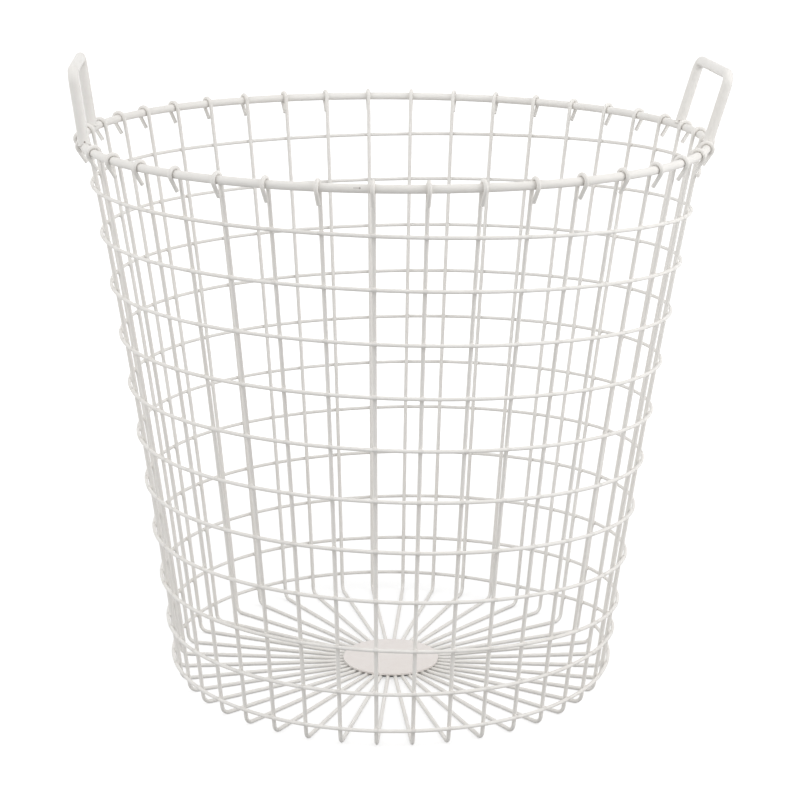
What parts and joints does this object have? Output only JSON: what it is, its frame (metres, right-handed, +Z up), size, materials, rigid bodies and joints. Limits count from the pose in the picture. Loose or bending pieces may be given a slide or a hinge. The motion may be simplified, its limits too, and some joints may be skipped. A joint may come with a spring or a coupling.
{
  "type": "wire basket",
  "caption": "Large round open-top wire basket: hooked ribs on a rim rod, one long spiral wire welded round them, a floor disc and two upright rod handles, painted off-white",
  "frame": {"origin": "Middle of the basket's floor, on the surface that it stands on. The box's middle lies 3 to 4 mm to +X of it, because the two handles lean by different amounts", "axes": "+Z up along the basket's axis, X through the two handles, Y across them, with the side nearest the picture's camera toward -Y"},
  "size_m": [0.522, 0.5132, 0.5147],
  "materials": {
    "rod": "satin",
    "wire": "satin",
    "sheet": "satin"
  },
  "bodies": {
    "root": {"rim": "rod", "spiral_wire": "wire", "base_disc": "sheet", "handle_right": "rod", "handle_left": "rod", "rib_01": "wire", "rib_02": "wire", "rib_03": "wire", "rib_04": "wire", "rib_05": "wire", "rib_06": "wire", "rib_07": "wire", "rib_08": "wire", "rib_09": "wire", "rib_10": "wire", "rib_11": "wire", "rib_12": "wire", "rib_13": "wire", "rib_14": "wire", "rib_15": "wire", "rib_16": "wire", "rib_17": "wire", "rib_18": "wire", "rib_19": "wire", "rib_20": "wire", "rib_21": "wire", "rib_22": "wire", "rib_23": "wire", "rib_24": "wire", "rib_25": "wire", "rib_26": "wire", "rib_27": "wire", "rib_28": "wire", "rib_29": "wire", "rib_30": "wire", "rib_31": "wire", "rib_32": "wire", "rib_33": "wire", "rib_34": "wire", "rib_35": "wire", "rib_36": "wire", "rib_37": "wire", "rib_38": "wire", "rib_39": "wire", "rib_40": "wire"}
  },
  "joints": []
}
